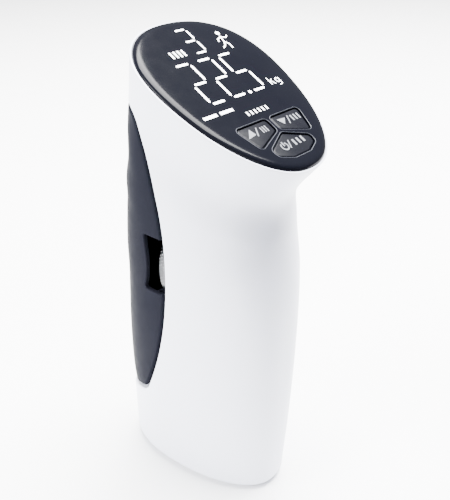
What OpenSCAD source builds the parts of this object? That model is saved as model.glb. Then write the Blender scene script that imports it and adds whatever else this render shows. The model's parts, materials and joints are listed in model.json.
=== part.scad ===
// Digital hand-grip dynamometer: a white grip housing with a tilted display head,
// a black finger lever on a knurled span-adjusting wheel, and a load cell inside.
// +X points to the palm, -X to the fingers, +Z up. The base stands on Z = 0.

/* [Body] */
// Height of the high end of the display face
body_h = 160; // [155:1:165]
// Height of the low end of the display face, on the palm side
low_end_h = 128.6; // [125:0.1:131]
// Finger edge of the base
finger_base_x = -36.45; // [-37:0.05:-36]
// Superellipse power of the oval section
oval_power = 2.27; // [2:0.01:2.6]
// How much slimmer the oval is at the palm end, as a share
egg = 0.175; // [0:0.005:0.2]
// Wall of the housing
wall = 2.4; // [2:0.1:2.6]
// Rounding of the base edge
base_round = 5; // [3:0.5:5]

/* [Lever opening] */
// Deepest point of the arched opening
arch_x = 0.85; // [0:0.05:2]
// Height of that deepest point
arch_z = 98; // [95:1:100]
// Radius of the arch above the deepest point
arch_upper_r = 90; // [85:1:95]
// Radius of the arch below it
arch_lower_r = 135; // [130:1:140]
// Height of the opening's top edge
opening_top = 141.3; // [140:0.1:142]
// Corner radius of the opening
opening_round = 7; // [5:0.5:8]
// Gap between the lever and the housing
lever_gap = 0.6; // [0.5:0.05:0.8]

/* [Adjuster] */
// Height of the adjusting spindle
spindle_z = 88.5; // [88:0.5:89]
// Spindle radius
spindle_r = 3; // [2.5:0.5:3]
// Radius of the knurled wheel
wheel_r = 21; // [20:0.5:21.5]
// Width of the knurled wheel
wheel_w = 6.5; // [6:0.1:6.5]
// Teeth of the knurl
wheel_teeth = 110; // [90:2:120]

/* [Display] */
// White rim of the housing around the panel
panel_rim = 0.6; // [0.5:0.05:0.8]
// Height of the panel's dome above the rim
panel_dome = 1.2; // [0.8:0.1:1.5]
// Gap around each button
button_gap = 0.25; // [0.2:0.05:0.3]

/* [Hidden] */

$fn = 64;
far = 90;           // reach of cutting tools, past everything
eps = 0.01;

// Palm line and half width of the body, as [share of height, value]
palm_line = [[0, 28.55], [0.25, 30.05], [0.5, 30.45], [0.68, 29.45], [0.8, 26.85],
    [0.9, 26.75], [1, 36.15]];
width_line = [[0, 19.5], [0.3, 22.6], [0.6, 24.6], [0.8, 24.9], [0.9, 24], [1, 25.2]];
finger_lean = 8.9;  // how far the finger edge leans in over the height, straight part
finger_bend = 7.5;  // and its curved part

high_end = [finger_base_x + finger_lean + finger_bend, body_h];
face_run = palm_line[len(palm_line) - 1][1] - high_end[0];
face_drop = body_h - low_end_h;
face_tilt = atan2(face_drop, face_run);
face_len = norm([face_run, face_drop]);

lever_recess = 0.4;                  // lever surface below the housing's
lever_wall = 3;
skirt_clear = 0.45;
skirt_wall = 1.8;
skirt_reach = 12;                    // of the skirt behind the arch
ledge_slope = 0.45;                  // the opening's lower edge falls towards the fingers
ledge_at = [-14.45, 34.6];
ledge_wall = 2.2;

wheel_x = -6;                        // finger-side face of the wheel
tooth_depth = 0.45;
running = 0.08;                      // radial clearance of a running fit
retainer_x = wheel_x + wheel_w + 0.3;
retainer_t = 2;
boss_z = 26.5;                       // retainer bosses, from the spindle
boss_r = 4;
window_low = 82.8;
window_high = 103.2;

rod_r = 2.5;
upper_rod_z = 127.5;
lower_rod_z = 60;
lower_rod_y = 11.5;
bush_r = 3.8;

cell_x = [5.5, 17];                  // load cell, through its depth
cell_w = 12;
cell_z = [53, 101];
cell_screw_z = [57, 65];
gauge_z = [71, 78];                  // thin places of the beam, where the gauges sit
spine_x = [18, 20.5];
floor_z = [22, 24.5];

panel_floor = -1.4;                  // underside of the panel, from the face plane
recess_floor = 0.9838;               // of the panel's recess, as a share of height
shelf_in = 4;                        // width of the shelf that carries the panel
board_top = -7.9;
board_t = 1.6;
button_top = 0.95;
flange_top = -1.7;
flange_t = 0.9;
membrane_top = -3.5;
membrane_t = 0.8;

base_lip = 7.5;                      // inset of the battery opening in the base
battery_r = 5.2;
battery_z = [6.4, 49.8];
battery_x = [-2.1, 8.9];             // the two cells stand side by side
holder_x = [-8.6, 15.4];
holder_y = 6.6;
holder_z = [4.4, 52];
holder_wall = 1;
screw_places = [[-24, 10.5], [-24, -10.5], [24.3, 0]];
insert_h = 3.4;

// Smooth curve through [position, value] knots
function knot_slope(k, i) =
    let(a = max(i - 1, 0), b = min(i + 1, len(k) - 1))
    (k[b][1] - k[a][1]) / (k[b][0] - k[a][0]);
function knot_before(k, t, i = 0) =
    i >= len(k) - 2 || t < k[i + 1][0] ? i : knot_before(k, t, i + 1);
function curve(k, t) =
    let(i = knot_before(k, t), h = k[i + 1][0] - k[i][0], p = (t - k[i][0]) / h)
    (2 * p ^ 3 - 3 * p ^ 2 + 1) * k[i][1] + (p ^ 3 - 2 * p ^ 2 + p) * h * knot_slope(k, i)
    + (3 * p ^ 2 - 2 * p ^ 3) * k[i + 1][1] + (p ^ 3 - p ^ 2) * h * knot_slope(k, i + 1);

// The body's two edges and its width at share s of the height
function finger_x(s) = finger_base_x + finger_lean * s + finger_bend * s ^ 2;
function palm_x(s) = curve(palm_line, s);
function half_width(s) = curve(width_line, s);
function section_len(s) = norm([palm_x(s) - finger_x(s), (body_h - low_end_h) * s]);

function power(c, p) = sign(c) * abs(c) ^ (2 / p);
function oval(a, b, sides) =
    [for (i = [0 : sides - 1])
        let(u = power(cos(360 * i / sides), oval_power), v = power(sin(360 * i / sides), oval_power))
        [a * u, b * v * (1 - egg * u)]];

function mid_x(s) = (finger_x(s) + palm_x(s)) / 2;
function slope(s) = atan2((body_h - low_end_h) * s, palm_x(s) - finger_x(s));

// An oval's points in the body's tilted plane at share s of the height, raised along its normal
function place(s, points, raise = 0) =
    let(c = cos(slope(s)), n = sin(slope(s)), z = (body_h + low_end_h) * s / 2)
    [for (p = points) [mid_x(s) + p[0] * c + raise * n, p[1], z - p[0] * n + raise * c]];
function ring(s, inset, sides, raise = 0) =
    place(s, oval(section_len(s) / 2 - inset, half_width(s) - inset, sides), raise);

// A solid through a stack of rings that have the same number of points
module skin(rings) {
    n = len(rings[0]);
    top = len(rings) - 1;
    polyhedron(
        points = [for (r = rings) each r],
        faces = concat(
            [[for (i = [0 : n - 1]) i], [for (i = [n - 1 : -1 : 0]) top * n + i]],
            [for (k = [0 : top - 1], i = [0 : n - 1])
                [k * n + i, (k + 1) * n + i, k * n + (i + 1) % n]],
            [for (k = [0 : top - 1], i = [0 : n - 1])
                [k * n + (i + 1) % n, (k + 1) * n + i, (k + 1) * n + (i + 1) % n]]));
}

module loft(steps, sides) {
    skin([for (p = steps) ring(p[0], p[1], sides)]);
}

// [share of height, inset] pairs of a plain loft between two heights
function plain_steps(from, to, inset, count) =
    [for (i = [0 : count]) [from + (to - from) * i / count, inset]];
function round_inset(z) = z < base_round ? base_round - sqrt(base_round ^ 2 - (base_round - z) ^ 2) : 0;

outer_steps = concat(
    [for (z = [0, 0.4, 1.2, 2.5]) [z / body_h, round_inset(z)]],
    plain_steps(base_round / body_h, 0.78, 0, 11),
    plain_steps(0.82, 1, 0, 7));

// Puts its children on the display face: x from the high end down to the low end, z outward
module on_face() {
    translate([high_end[0], 0, high_end[1]]) rotate([0, face_tilt, 0]) children();
}

module across(width) {
    rotate([90, 0, 0]) linear_extrude(width, center = true) children();
}

module along_x(x0, x1, z, y = 0) {
    translate([x0, y, z]) rotate([0, 90, 0]) linear_extrude(x1 - x0) children();
}

module block(x, y, z) {
    translate([x[0], y[0], z[0]]) cube([x[1] - x[0], y[1] - y[0], z[1] - z[0]]);
}

// The arched opening's side outline, grown by a margin
module opening_outline(grow) {
    offset(r = grow) offset(r = opening_round) offset(r = -opening_round)
        intersection() {
            union() {
                intersection() {
                    translate([arch_x - arch_upper_r, arch_z]) circle(arch_upper_r, $fn = 180);
                    translate([-far, arch_z - eps]) square([2 * far, far]);
                }
                intersection() {
                    translate([arch_x - arch_lower_r, arch_z]) circle(arch_lower_r, $fn = 240);
                    translate([-far, 0]) square([2 * far, arch_z]);
                }
            }
            polygon([
                [-far, ledge_at[1] - ledge_slope * (far + ledge_at[0])],
                [far, ledge_at[1] + ledge_slope * (far - ledge_at[0])],
                [far, opening_top],
                [-far, opening_top]]);
        }
}

module cavity() {
    loft(concat(plain_steps(0.02, 0.75, wall, 8), plain_steps(0.8, 0.962, wall, 4)), 48);
}

// Upright ribs inside the palm wall
module palm_ribs() {
    for (y = [-9, 9], z = [30 : 24 : 78])
        hull() {
            block([palm_x(z / low_end_h) - 4.2, palm_x(z / low_end_h) - 1], [y - 0.6, y + 0.6], [z, z + 1]);
            block([palm_x((z + 24) / low_end_h) - 4.2, palm_x((z + 24) / low_end_h) - 1],
                [y - 0.6, y + 0.6], [z + 23, z + 24]);
        }
}

// The ledge below the opening and the lintel above it
module opening_ends() {
    across(far) difference() {
        opening_outline(ledge_wall);
        opening_outline(0);
        translate([-far, 38]) square([2 * far, 98]);
    }
}

module main_housing() color("white") {
    difference() {
        loft(outer_steps, 56);
        difference() {
            cavity();
            opening_ends();
            palm_ribs();
            for (p = screw_places)
                translate([p[0], p[1], floor_z[1]]) cylinder(h = 7, r = 2.9, $fn = 24);
            block([screw_places[2][0], 29], [-2, 2], [floor_z[1], floor_z[1] + 6.5]);
        }
        for (p = screw_places)
            translate([p[0], p[1], floor_z[1] - 1]) cylinder(h = 5, r = 2.3, $fn = 24);
        skin([ring(recess_floor, panel_rim, 60), ring(1, panel_rim, 60), ring(1, panel_rim, 60, 1)]);
        skin([ring(0.945, shelf_in + 0.5, 52), ring(1, shelf_in, 52, 1)]);
        translate([mid_x(0), 0, -1]) linear_extrude(6)
            polygon(oval(section_len(0) / 2 - base_lip, half_width(0) - base_lip, 48));
        across(far) opening_outline(0);
    }
}

module threaded_inserts() color("gold")
    for (p = screw_places)
        translate([p[0], p[1], floor_z[1] + 0.4]) difference() {
            cylinder(h = insert_h, r = 2.25);
            translate([0, 0, -1]) cylinder(h = insert_h + 2, r = 1.25);
        }

// Plug-in cover that closes the base and holds the batteries in
module battery_cover() color("gainsboro") {
    difference() {
        translate([mid_x(0), 0, 0.5]) linear_extrude(2.2)
            polygon(oval(section_len(0) / 2 - base_lip - 0.35, half_width(0) - base_lip - 0.35, 64));
        for (i = [-3 : 3])
            block([-19, -9], [i * 1.6 - 0.4, i * 1.6 + 0.4], [-1, 1]);
    }
    for (y = [-10, 10])
        block([-8, 2], [y - 0.6, y + 0.6], [2, 9]);
}

module spring(x, z, step) {
    for (i = [0 : 2])
        translate([x, 0, z + step * i]) rotate_extrude() translate([3.2 - 0.4 * i, 0]) circle(0.3, $fn = 16);
}

// Contact on the cover that joins the two cells
module cover_contact() color("silver") {
    block([-7, 14], [-4, 4], [2.72, 3.3]);
    spring(battery_x[0], 3.5, 0.3);
    spring(battery_x[1], 3.5, 0.3);
}

module battery_holder() color("dimgray") difference() {
    block(holder_x, [-holder_y, holder_y], holder_z);
    block([holder_x[0] + holder_wall, holder_x[1] - holder_wall],
        [-holder_y + holder_wall, holder_y - holder_wall], [0, holder_z[1] - holder_wall]);
}

module battery_cells() color("dodgerblue")
    for (i = [0, 1]) {
        translate([battery_x[i], 0, battery_z[0]])
            cylinder(h = battery_z[1] - battery_z[0], r = battery_r);
        translate([battery_x[i], 0, i == 0 ? battery_z[0] - 0.1 : battery_z[1] - 0.5])
            cylinder(h = 0.6, r = 1.9);
    }

module battery_plates() color("silver")
    for (x = battery_x)
        block([x - 4, x + 4], [-4, 4], [holder_z[1] - holder_wall - 0.4, holder_z[1] - holder_wall]);

function band(side, a, b) = side > 0 ? [a, b] : [-b, -a];

module chassis() color("gray") difference() {
    union() {
        block([-25.9, 17], [-12.6, 12.6], floor_z);
        block([16, spine_x[1]], [-11, 11], floor_z);
        block([20, 26.2], [-4, 4], floor_z);
        block(spine_x, [-11, 11], [floor_z[1] - 1, 112]);
        block([cell_x[1] + 0.02, spine_x[0] + 1], [-cell_w / 2, cell_w / 2], [cell_z[0], cell_z[0] + 14]);
        for (side = [-1, 1]) {
            block([2, 12], band(side, 7.6, 12.8), [floor_z[1] - 1, 56]);
            block([2, 12], band(side, 7.2, 15.8), [lower_rod_z - 5.5, lower_rod_z + 5.5]);
            block([11, 19], band(side, 8, 10.6), [floor_z[1] - 1, lower_rod_z + 5.5]);
        }
        block([1, 8], [-6, 6], [upper_rod_z - 4.8, upper_rod_z + 4.8]);
        block([6.5, spine_x[1]], [-5, 5], [108, upper_rod_z - 4]);
    }
    for (side = [-1, 1])
        along_x(-far, far, lower_rod_z, side * lower_rod_y) circle(bush_r);
    along_x(-far, far, upper_rod_z) circle(bush_r);
    for (z = cell_screw_z)
        along_x(0, far, z) circle(2.15);
    for (p = screw_places)
        translate([p[0], p[1], 0]) cylinder(h = floor_z[1] + 1, r = 1.45);
    block([holder_x[0] - 0.05, holder_x[1] + 0.05], [-holder_y - 0.05, holder_y + 0.05], [0, 30]);
}

module chassis_screws() color("silver")
    for (p = screw_places)
        translate([p[0], p[1], 0]) {
            translate([0, 0, floor_z[0] - 1.8]) cylinder(h = 1.8, r = 2.4);
            translate([0, 0, floor_z[0] - eps]) cylinder(h = 6, r = 1.2);
        }

// Upright bending beam: its foot is screwed to the chassis, its head carries the spindle
module load_cell() color("lightsteelblue") difference() {
    block(cell_x, [-cell_w / 2, cell_w / 2], cell_z);
    for (z = gauge_z)
        translate([(cell_x[0] + cell_x[1]) / 2, 0, z])
            rotate([90, 0, 0]) cylinder(h = far, r = 4.2, center = true);
    block([10, 12.5], [-far, far], gauge_z);
    along_x(0, far, spindle_z) circle(spindle_r);
    for (z = cell_screw_z)
        along_x(0, far, z) circle(1.65);
}

module load_cell_screws() color("silver")
    for (z = cell_screw_z) {
        along_x(spine_x[1], spine_x[1] + 2.4, z) circle(3.2);
        along_x(cell_x[0] + 2, spine_x[1] + eps, z) circle(1.6);
    }

module strain_gauges() color("peru")
    for (x = [cell_x[0] - 0.22, cell_x[1] + 0.02], z = gauge_z)
        block([x, x + 0.2], [-2.5, 2.5], [z - 2.5, z + 2.5]);

module threaded_spindle() color("silver") difference() {
    along_x(-21.5, cell_x[1], spindle_z) circle(spindle_r - 0.01);
    for (i = [0 : 13])
        translate([-21 + i * 0.8, 0, spindle_z]) rotate([0, 90, 0]) rotate_extrude()
            translate([spindle_r - 0.25, 0]) square([1, 0.35]);
}

module lock_nut() color("silver") difference() {
    along_x(3.2, cell_x[0] - 0.02, spindle_z) circle(5, $fn = 6);
    along_x(0, 9, spindle_z) circle(spindle_r);
}

// Guides of the lever, as [start x, end x, y, z]
guides = [[1, 8, 0, upper_rod_z], [2, 12, -lower_rod_y, lower_rod_z], [2, 12, lower_rod_y, lower_rod_z]];

module guide_bushes() color("darkgoldenrod")
    for (g = guides)
        difference() {
            union() {
                along_x(g[0], g[1], g[3], g[2]) circle(bush_r - 0.01);
                along_x(g[0] - 1, g[0] - 0.01, g[3], g[2]) circle(bush_r + 0.9);
            }
            along_x(g[0] - 5, g[1] + 1, g[3], g[2]) circle(rod_r + running);
        }

module guide_rods() color("silver") {
    along_x(-20, 11, upper_rod_z) circle(rod_r);
    for (side = [-1, 1])
        along_x(-25, 16, lower_rod_z, side * lower_rod_y) circle(rod_r);
}

// Finger seats: how far the lever's front is drawn in, as [height, depth]
front_line = [[28, 1.6], [33, 0.2], [38, -0.8], [50, -1.4], [64, -1.4], [76, -0.9], [86, -0.7],
    [95, -1.5], [109, -1], [114, -0.5], [120, -1.2], [129, 0.6], [138, -1.2], [150, -1.3]];

function lever_ring(s) =
    place(s, [for (p = oval(section_len(s) / 2 - lever_recess, half_width(s) - lever_recess, 48))
        [p[0] + curve(front_line, body_h * s) * max(0, -2 * p[0] / section_len(s)) ^ 2, p[1]]]);

module lever_outside() {
    skin([for (i = [0 : 38]) lever_ring(0.176 + 0.724 * i / 38)]);
}

// Side outline of the window over the wheel
module window_outline() {
    offset(r = 1, $fn = 40) offset(r = -1) polygon([
        [-9, window_low], [far, window_low], [far, window_high], [-7.5, window_high],
        [-7.1, 98], [-6.9, 93.5], [-7.6, 88]]);
}

// A boss on the inside of the lever's front, thicker at its root
module lever_boss(end, r, z, y = 0) {
    hull() {
        along_x(-40, end, z, y) circle(r, $fn = 32);
        along_x(-40, -20, z, y) circle(r + 0.9, $fn = 32);
    }
}

// The lever's shell: its front wall, and its closed top and bottom
module lever_shell() {
    difference() {
        intersection() {
            lever_outside();
            across(far) opening_outline(-lever_gap);
        }
        intersection() {
            loft(plain_steps(0.1, 0.95, lever_recess + lever_wall, 14), 48);
            across(far) {
                opening_outline(-lever_gap - lever_wall);
                translate([-far, 39]) square([2 * far, 96]);
            }
        }
    }
}

// The skirt slides behind the housing's wall and hides the opening's edge
module lever_skirt() {
    intersection() {
        difference() {
            loft(plain_steps(0.2, 0.88, wall + skirt_clear, 14), 48);
            loft(plain_steps(0.19, 0.89, wall + skirt_clear + skirt_wall, 14), 48);
        }
        across(far) difference() {
            offset(r = skirt_reach) opening_outline(0);
            opening_outline(-lever_gap - 4);
        }
        block([-20, far], [-far, far], [40.5, 135.5]);
    }
}

module lever_bosses() {
    for (side = [-1, 1]) {
        lever_boss(retainer_x - 0.02, boss_r, spindle_z + side * boss_z);
        lever_boss(-13, 4.7, lower_rod_z, side * lower_rod_y);
    }
    lever_boss(wheel_x - 0.3, 7.5, spindle_z);
    lever_boss(-8, 5, upper_rod_z);
    hull() {
        block([-40, -15], [-1, 1], [lower_rod_z, lower_rod_z + 1]);
        block([-40, wheel_x - 3], [-1, 1], [spindle_z - 4, spindle_z]);
    }
    hull() {
        block([-40, wheel_x - 3], [-1, 1], [spindle_z, spindle_z + 4]);
        block([-40, -13], [-1, 1], [upper_rod_z - 1, upper_rod_z]);
    }
}

module finger_lever() color("#23252b") {
    difference() {
        union() {
            lever_shell();
            lever_skirt();
            intersection() {
                loft(plain_steps(0.12, 0.94, 2.2, 14), 48);
                lever_bosses();
            }
        }
        across(far) window_outline();
        for (side = [-1, 1]) {
            along_x(retainer_x - 9, far, spindle_z + side * boss_z) circle(1.3, $fn = 24);
            along_x(-25.02, 0, lower_rod_z, side * lower_rod_y) circle(rod_r + 0.02, $fn = 48);
        }
        along_x(-24, far, spindle_z) circle(spindle_r + 0.5, $fn = 32);
        along_x(wheel_x - 0.5, far, spindle_z) circle(wheel_r + 0.6);
        along_x(-20.02, 0, upper_rod_z) circle(rod_r + 0.02, $fn = 48);
    }
}

module adjusting_wheel() color("lightgray") difference() {
    union() {
        along_x(wheel_x + 0.5, wheel_x + wheel_w - 0.5, spindle_z)
            polygon([for (i = [0 : 2 * wheel_teeth - 1])
                let(r = wheel_r - (i % 2) * tooth_depth, a = 180 * i / wheel_teeth)
                [r * cos(a), r * sin(a)]]);
        along_x(wheel_x, wheel_x + wheel_w, spindle_z) circle(wheel_r - 0.9);
    }
    along_x(-far, far, spindle_z) circle(spindle_r + running);
    for (x = [wheel_x - 1, wheel_x + wheel_w - 1])
        difference() {
            along_x(x, x + 2, spindle_z) circle(wheel_r - 3.5);
            along_x(x, x + 2, spindle_z) circle(6.5);
        }
}

module wheel_retainer() color("dimgray") difference() {
    union() {
        block([retainer_x, retainer_x + retainer_t], [-4.4, 4.4],
            [spindle_z - boss_z, spindle_z + boss_z]);
        for (side = [-1, 1])
            along_x(retainer_x, retainer_x + retainer_t, spindle_z + side * boss_z) circle(4.4);
    }
    along_x(-far, far, spindle_z) circle(spindle_r + 0.5);
    for (side = [-1, 1])
        along_x(-far, far, spindle_z + side * boss_z) circle(1.6);
}

module retainer_screws() color("silver")
    for (side = [-1, 1]) {
        along_x(retainer_x + retainer_t, retainer_x + retainer_t + 1.6, spindle_z + side * boss_z)
            circle(2.6);
        along_x(retainer_x - 7, retainer_x + retainer_t + eps, spindle_z + side * boss_z)
            circle(1.25);
    }

// Button outlines on the face, grown by a margin. Left and right are mirror images
module side_button_outline(side, grow) {
    offset(r = grow) offset(r = 1.3) offset(r = -1.3)
        polygon([for (p = [[44.6, 14.2], [44.6, 0.8], [49.5, 0.8], [53.4, 11.4]]) [p[0], side * p[1]]]);
}

module power_button_outline(grow) {
    offset(r = grow) offset(r = 1.6) offset(r = -1.6)
        polygon([
            [50.6, 0], [54.7, 8.9], [57.4, 8.2], [59.3, 3.5],
            [59.3, -3.5], [57.4, -8.2], [54.7, -8.9]]);
}

module button_cap() {
    translate([0, 0, flange_top - eps]) linear_extrude(button_top - flange_top + eps) children(0);
    translate([0, 0, flange_top - flange_t]) linear_extrude(flange_t) children(1);
}

module button_up() color("#1b1d22") on_face() button_cap() {
    side_button_outline(-1, -button_gap);
    side_button_outline(-1, 0.3);
}

module button_down() color("#1b1d22") on_face() button_cap() {
    side_button_outline(1, -button_gap);
    side_button_outline(1, 0.3);
}

module button_power() color("#1b1d22") on_face() button_cap() {
    power_button_outline(-button_gap);
    intersection() {
        power_button_outline(0.3);
        translate([face_len / 2, 0]) polygon(oval(face_len / 2 - 5, half_width(1) - 5, 60));
    }
}

// Domed cover over the display: [inset from the panel's edge, share of the dome's height]
dome_steps = [[0, 0], [0.15, 0.38], [0.6, 0.67], [1.5, 0.88], [4, 0.96], [12, 1]];
panel_edge = panel_rim + 0.15;
panel_under = 0.9865;                // share of height of the panel's lower edge
module display_panel() color("#1c1e24") difference() {
    union() {
        difference() {
            skin(concat(
                [ring(panel_under, panel_edge, 64)],
                [for (d = dome_steps) ring(1, panel_edge + d[0], 64, d[1] * panel_dome)]));
            skin([ring(0.97, 3.2, 52), ring(1, 3.2, 52, panel_floor)]);
        }
        for (a = [60 : 60 : 300])
            panel_clip(a);
    }
    on_face() {
        hull() translate([0, 0, -5]) linear_extrude(10) side_button_outline(-1, 0);
        hull() translate([0, 0, -5]) linear_extrude(10) side_button_outline(1, 0);
        hull() translate([0, 0, -5]) linear_extrude(10) power_button_outline(0);
    }
}

// A small foot under the panel that keeps it off the display
module panel_clip(a) {
    on_face() translate([face_len / 2 + (face_len / 2 - 5.6) * cos(a), (half_width(1) - 5.6) * sin(a), 0])
        hull() {
            translate([-1, -1, panel_floor - 0.7]) cube([2, 2, 1]);
            translate([-1.3, -1.3, panel_floor]) cube([2.6, 2.6, 0.3]);
        }
}

module panel_gasket() color("#101010") difference() {
    skin([ring(recess_floor + 0.0001, 1.3, 60), ring(panel_under - 0.0001, 1.3, 60)]);
    skin([ring(0.98, 3, 60), ring(0.99, 3, 60)]);
}

module led_module() color("#2a2c31") on_face()
    translate([0, 0, board_top]) linear_extrude(-board_top + panel_floor - 0.4)
        polygon([[9, -4], [13.5, -12.5], [20, -15], [41, -15], [41, 15.5], [18, 15.5], [9, 6]]);

board_outline_x = [10.5, 56];
module board_outline() {
    intersection() {
        translate([board_outline_x[0], -19]) square([board_outline_x[1] - board_outline_x[0], 38]);
        translate([33, 0]) polygon(oval(24.5, 18.5, 48));
    }
}

board_screw_places = [[43, -12.5], [43, 12.5]];
module main_board() color("seagreen") on_face() translate([0, 0, board_top - board_t]) difference() {
    linear_extrude(board_t - 0.02) board_outline();
    for (p = board_screw_places)
        translate([p[0], p[1], -1]) cylinder(h = 5, r = 1.1);
}

module board_screws() color("silver") on_face()
    for (p = board_screw_places)
        translate([p[0], p[1], board_top]) {
            cylinder(h = 1.2, r = 1.9);
            translate([0, 0, -board_t - 3]) cylinder(h = board_t + 3 + eps, r = 1);
        }

switch_places = [[48.5, -6.3], [48.5, 6.3], [55, 0]];
module tact_switches() color("dimgray") on_face()
    for (p = switch_places)
        translate([p[0], p[1], board_top]) {
            translate([-2.2, -2.2, 0]) cube([4.4, 4.4, 2.6]);
            translate([0, 0, 2.6 - eps]) cylinder(h = 0.8, r = 1.1);
        }

module keypad_membrane() color("#3a3a3a") on_face() {
    translate([0, 0, membrane_top - membrane_t]) linear_extrude(membrane_t)
        intersection() {
            translate([43.2, -17]) square([15.3, 34]);
            translate([face_len / 2, 0]) polygon(oval(face_len / 2 - 5.2, 19.6, 48));
        }
    for (p = switch_places)
        translate([p[0], p[1], membrane_top - eps]) cylinder(h = 0.15, r = 1.5);
}

// A cable along a smooth bend between two points, through two handles
function bend(a, b, c, d, t) =
    (1 - t) ^ 3 * a + 3 * (1 - t) ^ 2 * t * b + 3 * (1 - t) * t ^ 2 * c + t ^ 3 * d;

module cable(a, b, c, d, r) {
    for (i = [0 : 11])
        hull() {
            translate(bend(a, b, c, d, i / 12)) sphere(r, $fn = 10);
            translate(bend(a, b, c, d, (i + 1) / 12)) sphere(r, $fn = 10);
        }
}

module signal_cable() color("firebrick")
    cable([14, 7.2, 76], [14, 10, 92], [16, 9, 110], [9, 8, 131.6], 0.7);

module battery_cable() color("black") {
    cable([16.1, 4, 45], [16.4, 6, 48], [16.6, 7, 51], [16.6, 7, 56], 0.6);
    cable([16.6, 7, 56], [16.6, 7, 75], [17, 13, 104], [6, 12, 132.4], 0.6);
}

main_housing();
threaded_inserts();
battery_cover();
cover_contact();
battery_holder();
battery_cells();
battery_plates();
chassis();
chassis_screws();
load_cell();
load_cell_screws();
strain_gauges();
threaded_spindle();
lock_nut();
guide_bushes();
finger_lever();
guide_rods();
adjusting_wheel();
wheel_retainer();
retainer_screws();
display_panel();
panel_gasket();
led_module();
main_board();
board_screws();
tact_switches();
keypad_membrane();
button_up();
button_down();
button_power();
signal_cable();
battery_cable();
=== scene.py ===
# Looks of the hand-grip dynamometer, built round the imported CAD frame. Lengths in the
# helpers are millimetres in the CAD's frame, and meshes are written in metres.
import json
import math

import bmesh
import bpy
import numpy as np
from mathutils import Matrix, Vector


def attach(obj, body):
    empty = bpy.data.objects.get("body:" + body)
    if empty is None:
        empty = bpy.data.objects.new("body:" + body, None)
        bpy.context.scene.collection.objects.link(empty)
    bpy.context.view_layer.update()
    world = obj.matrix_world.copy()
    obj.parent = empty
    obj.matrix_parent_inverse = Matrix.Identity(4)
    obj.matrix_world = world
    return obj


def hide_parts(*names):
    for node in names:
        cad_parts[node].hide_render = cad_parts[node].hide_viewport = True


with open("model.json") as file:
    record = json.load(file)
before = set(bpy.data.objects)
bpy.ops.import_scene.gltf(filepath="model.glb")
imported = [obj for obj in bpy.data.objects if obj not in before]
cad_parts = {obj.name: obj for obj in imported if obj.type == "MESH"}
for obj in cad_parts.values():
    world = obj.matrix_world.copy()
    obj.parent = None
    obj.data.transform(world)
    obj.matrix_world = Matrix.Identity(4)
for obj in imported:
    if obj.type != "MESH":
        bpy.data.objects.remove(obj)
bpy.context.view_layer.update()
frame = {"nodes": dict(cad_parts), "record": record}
NODES = frame["nodes"]
MM = 0.001

# ------------------------------------------------------------------ the body's surface
# The body is a pile of tilted ovals. A point of it has an angle th (0 at the palm edge, pi at
# the finger edge) and a share s of the height (0 at the base, 1 at the face).
BODY_H, LOW_H = 160.0, 128.6    # height of the face's finger end and of its palm end
POWER, EGG = 2.27, 0.175        # squareness of the oval, and how much its palm half is narrower
PALM = [(0, 28.55), (0.25, 30.05), (0.5, 30.45), (0.68, 29.45), (0.8, 26.85), (0.9, 26.75), (1, 36.15)]
WIDTH = [(0, 19.5), (0.3, 22.6), (0.6, 24.6), (0.8, 24.9), (0.9, 24), (1, 25.2)]
FINGER_X, FINGER_LEAN, FINGER_BEND = -36.45, 8.9, 7.5
WALL = 2.4
BASE_ROUND = 5.0
HIGH_X = FINGER_X + FINGER_LEAN + FINGER_BEND
FACE_RUN, FACE_DROP = PALM[-1][1] - HIGH_X, BODY_H - LOW_H
FACE_LEN = math.hypot(FACE_RUN, FACE_DROP)
TILT = math.atan2(FACE_DROP, FACE_RUN)
RIM = 0.6                       # width of the housing's rim round the display panel
RECESS_FLOOR = 0.9838           # share of height of the ledge under the display panel
TOP_SHARE = 1.12                # searches go on a little past the face
S_STEP, TH_STEP = 1e-3, 2e-3    # steps for the slope of the surface
NEAR_EDGE = 0.03                # this near the body's middle plane the slope along th is not used


def curve(knots, t):
    """Smooth curve through knots, the same one the CAD uses."""
    k = np.array(knots, float)
    t = np.asarray(t, float)
    i = np.clip(np.searchsorted(k[:, 0], t, side="right") - 1, 0, len(k) - 2)
    last = len(k) - 1
    slope = np.array([
        (k[min(j + 1, last), 1] - k[max(j - 1, 0), 1]) / (k[min(j + 1, last), 0] - k[max(j - 1, 0), 0])
        for j in range(len(k))
    ])
    h = k[i + 1, 0] - k[i, 0]
    p = (t - k[i, 0]) / h
    return (
        (2 * p**3 - 3 * p**2 + 1) * k[i, 1]
        + (p**3 - 2 * p**2 + p) * h * slope[i]
        + (3 * p**2 - 2 * p**3) * k[i + 1, 1]
        + (p**3 - p**2) * h * slope[i + 1]
    )


def bisect(lo, hi, too_low, steps=50):
    """The place between lo and hi where too_low turns false."""
    for _ in range(steps):
        mid = (lo + hi) / 2
        if too_low(mid):
            lo = mid
        else:
            hi = mid
    return mid


def finger_x(s):
    return FINGER_X + FINGER_LEAN * s + FINGER_BEND * s**2


def section(s):
    """(middle x, half length, half width, slope angle, middle z) of the oval at share s."""
    s = np.asarray(s, float)
    fx, px = finger_x(s), curve(PALM, s)
    drop = (BODY_H - LOW_H) * s
    half_len = np.hypot(px - fx, drop) / 2
    slope = np.arctan2(drop, px - fx)
    return (fx + px) / 2, half_len, curve(WIDTH, s), slope, (BODY_H + LOW_H) * s / 2


def spow(c):
    return np.sign(c) * np.abs(c) ** (2 / POWER)


def surf(th, s, inset=0.0, lift=0.0):
    """Points of the body, inset from its skin and lifted square to their oval."""
    mid, half_len, half_w, sl, z = section(s)
    u, v = spow(np.cos(th)), spow(np.sin(th))
    along, y = (half_len - inset) * u, (half_w - inset) * v * (1 - EGG * u)
    x = mid + along * np.cos(sl) + lift * np.sin(sl)
    z = z - along * np.sin(sl) + lift * np.cos(sl)
    return np.stack(np.broadcast_arrays(x, y, z), -1)


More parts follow.
